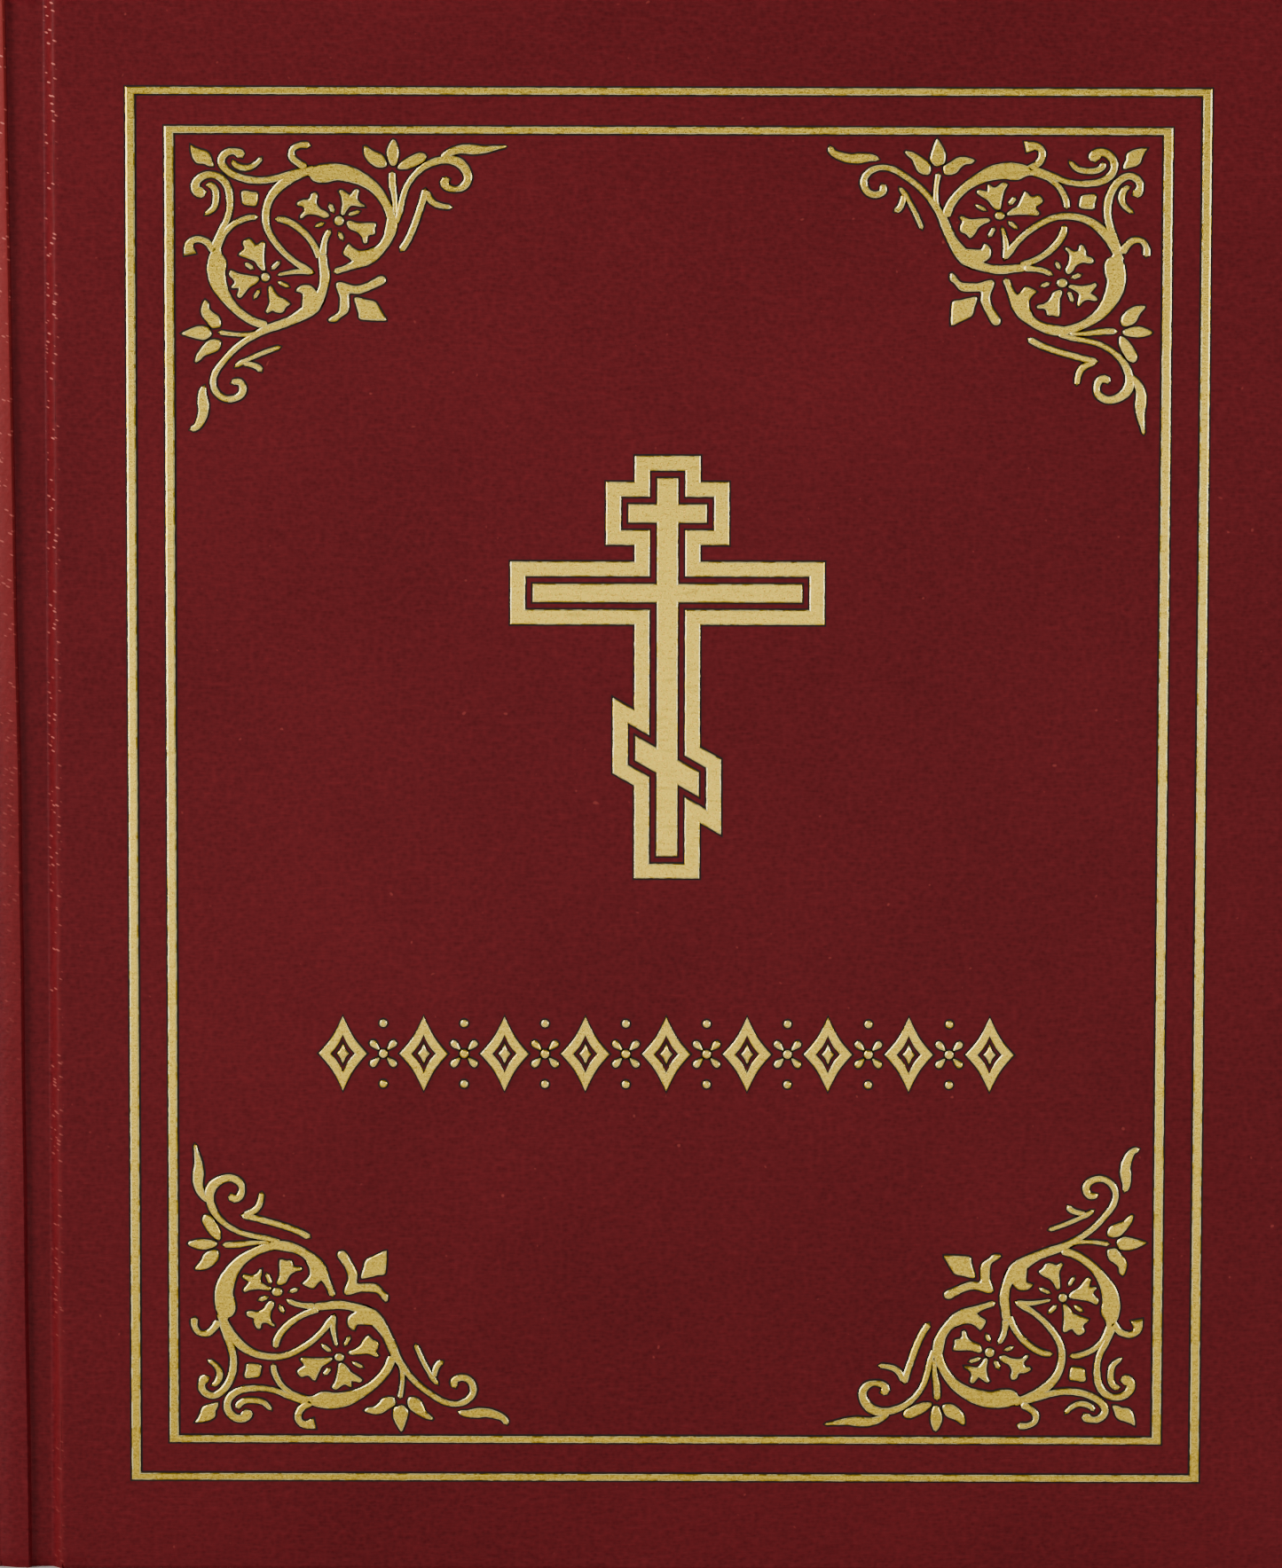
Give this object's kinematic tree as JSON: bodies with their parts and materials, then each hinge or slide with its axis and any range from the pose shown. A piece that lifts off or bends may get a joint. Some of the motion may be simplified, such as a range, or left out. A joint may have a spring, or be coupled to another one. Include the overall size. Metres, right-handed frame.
{
  "type": "prayer book",
  "caption": "Sewn hardback prayer book with a rounded spine, red leatherette case, gold-stamped frame, corner vines and cross; covers and front leaves open on the joints.",
  "frame": {"origin": "middle of the foot of the closed book, at the level it stands on", "axes": "+X from the spine to the fore-edge, +Y out of the back cover, +Z from tail to head; the front cover faces -Y"},
  "size_m": [0.187, 0.0318, 0.222],
  "materials": {
    "red_leatherette": "fine-grained dark red leatherette, satin",
    "gold_foil": "satin gold stamping foil",
    "grey_board": "dense grey board",
    "card": "brown card and kraft paper",
    "book_paper": "uncoated cream book paper",
    "endpaper": "heavy uncoated endpaper",
    "mull_cloth": "open starched gauze",
    "thread": "waxed white thread",
    "glue": "dried binding glue, matt",
    "band_cloth": "red and gold striped band, woven"
  },
  "bodies": {
    "text_block": {"signature_07": "book_paper", "signature_08": "book_paper", "signature_09": "book_paper", "signature_10": "book_paper", "signature_11": "book_paper", "signature_12": "book_paper", "signature_13": "book_paper", "signature_14": "book_paper", "signature_01_fold": "book_paper", "signature_02_fold": "book_paper", "signature_03_fold": "book_paper", "signature_04_fold": "book_paper", "signature_05_fold": "book_paper", "signature_06_fold": "book_paper", "sewing_thread": "thread", "spine_glue": "glue", "spine_mull": "mull_cloth", "spine_lining": "card", "headband": "band_cloth", "tailband": "band_cloth", "spine_inlay": "card", "spine_leather": "red_leatherette", "front_joint_leather": "red_leatherette", "back_joint_leather": "red_leatherette", "front_endpaper_fold": "endpaper", "back_endpaper_fold": "endpaper", "front_mull_joint": "mull_cloth", "back_mull_joint": "mull_cloth"},
    "front_cover": {"front_board": "grey_board", "front_leather": "red_leatherette", "front_pastedown": "endpaper", "front_mull_flange": "mull_cloth", "foil_outer_rule": "gold_foil", "foil_inner_rule": "gold_foil", "foil_corner_ornaments": "gold_foil", "foil_cross_outline": "gold_foil", "foil_cross": "gold_foil", "foil_title_band": "gold_foil"},
    "back_cover": {"back_board": "grey_board", "back_leather": "red_leatherette", "back_pastedown": "endpaper", "back_mull_flange": "mull_cloth"},
    "front_flyleaf": {"front_flyleaf": "endpaper"},
    "back_flyleaf": {"back_flyleaf": "endpaper"},
    "leaves_1": {"signature_01_leaves": "book_paper"},
    "leaves_2": {"signature_02_leaves": "book_paper"},
    "leaves_3": {"signature_03_leaves": "book_paper"},
    "leaves_4": {"signature_04_leaves": "book_paper"},
    "leaves_5": {"signature_05_leaves": "book_paper"},
    "leaves_6": {"signature_06_leaves": "book_paper"}
  },
  "joints": [
    {"name": "front_cover_hinge", "type": "hinge", "parent": "text_block", "child": "front_cover", "pos_m": [-0.084, -0.01562, 0.111], "axis": [0, 0, -1], "range_deg": [0, 178], "deforming": ["front_joint_leather", "front_mull_joint", "front_endpaper_fold"]},
    {"name": "back_cover_hinge", "type": "hinge", "parent": "text_block", "child": "back_cover", "pos_m": [-0.084, 0.01588, 0.111], "axis": [0, 0, 1], "range_deg": [0, 178], "deforming": ["back_joint_leather", "back_mull_joint", "back_endpaper_fold"]},
    {"name": "front_flyleaf_turn", "type": "hinge", "parent": "text_block", "child": "front_flyleaf", "pos_m": [-0.084, -0.01562, 0.111], "axis": [0, 0, -1], "range_deg": [0, 172.66]},
    {"name": "back_flyleaf_turn", "type": "hinge", "parent": "text_block", "child": "back_flyleaf", "pos_m": [-0.084, 0.01588, 0.111], "axis": [0, 0, 1], "range_deg": [0, 172.66]},
    {"name": "leaves_1_turn", "type": "hinge", "parent": "text_block", "child": "leaves_1", "pos_m": [-0.084, -0.01562, 0.111], "axis": [0, 0, -1], "range_deg": [0, 153.08]},
    {"name": "leaves_2_turn", "type": "hinge", "parent": "text_block", "child": "leaves_2", "pos_m": [-0.084, -0.01562, 0.111], "axis": [0, 0, -1], "range_deg": [0, 131.72]},
    {"name": "leaves_3_turn", "type": "hinge", "parent": "text_block", "child": "leaves_3", "pos_m": [-0.084, -0.01562, 0.111], "axis": [0, 0, -1], "range_deg": [0, 110.36]},
    {"name": "leaves_4_turn", "type": "hinge", "parent": "text_block", "child": "leaves_4", "pos_m": [-0.084, -0.01562, 0.111], "axis": [0, 0, -1], "range_deg": [0, 89]},
    {"name": "leaves_5_turn", "type": "hinge", "parent": "text_block", "child": "leaves_5", "pos_m": [-0.084, -0.01562, 0.111], "axis": [0, 0, -1], "range_deg": [0, 67.64]},
    {"name": "leaves_6_turn", "type": "hinge", "parent": "text_block", "child": "leaves_6", "pos_m": [-0.084, -0.01562, 0.111], "axis": [0, 0, -1], "range_deg": [0, 42.72]}
  ],
  "couplings": [
    {"joint": "front_flyleaf_turn", "follows": "front_cover_hinge", "ratio": 0.97},
    {"joint": "back_flyleaf_turn", "follows": "back_cover_hinge", "ratio": 0.97},
    {"joint": "leaves_1_turn", "follows": "front_cover_hinge", "ratio": 0.86},
    {"joint": "leaves_2_turn", "follows": "front_cover_hinge", "ratio": 0.74},
    {"joint": "leaves_3_turn", "follows": "front_cover_hinge", "ratio": 0.62},
    {"joint": "leaves_4_turn", "follows": "front_cover_hinge", "ratio": 0.5},
    {"joint": "leaves_5_turn", "follows": "front_cover_hinge", "ratio": 0.38},
    {"joint": "leaves_6_turn", "follows": "front_cover_hinge", "ratio": 0.24}
  ]
}
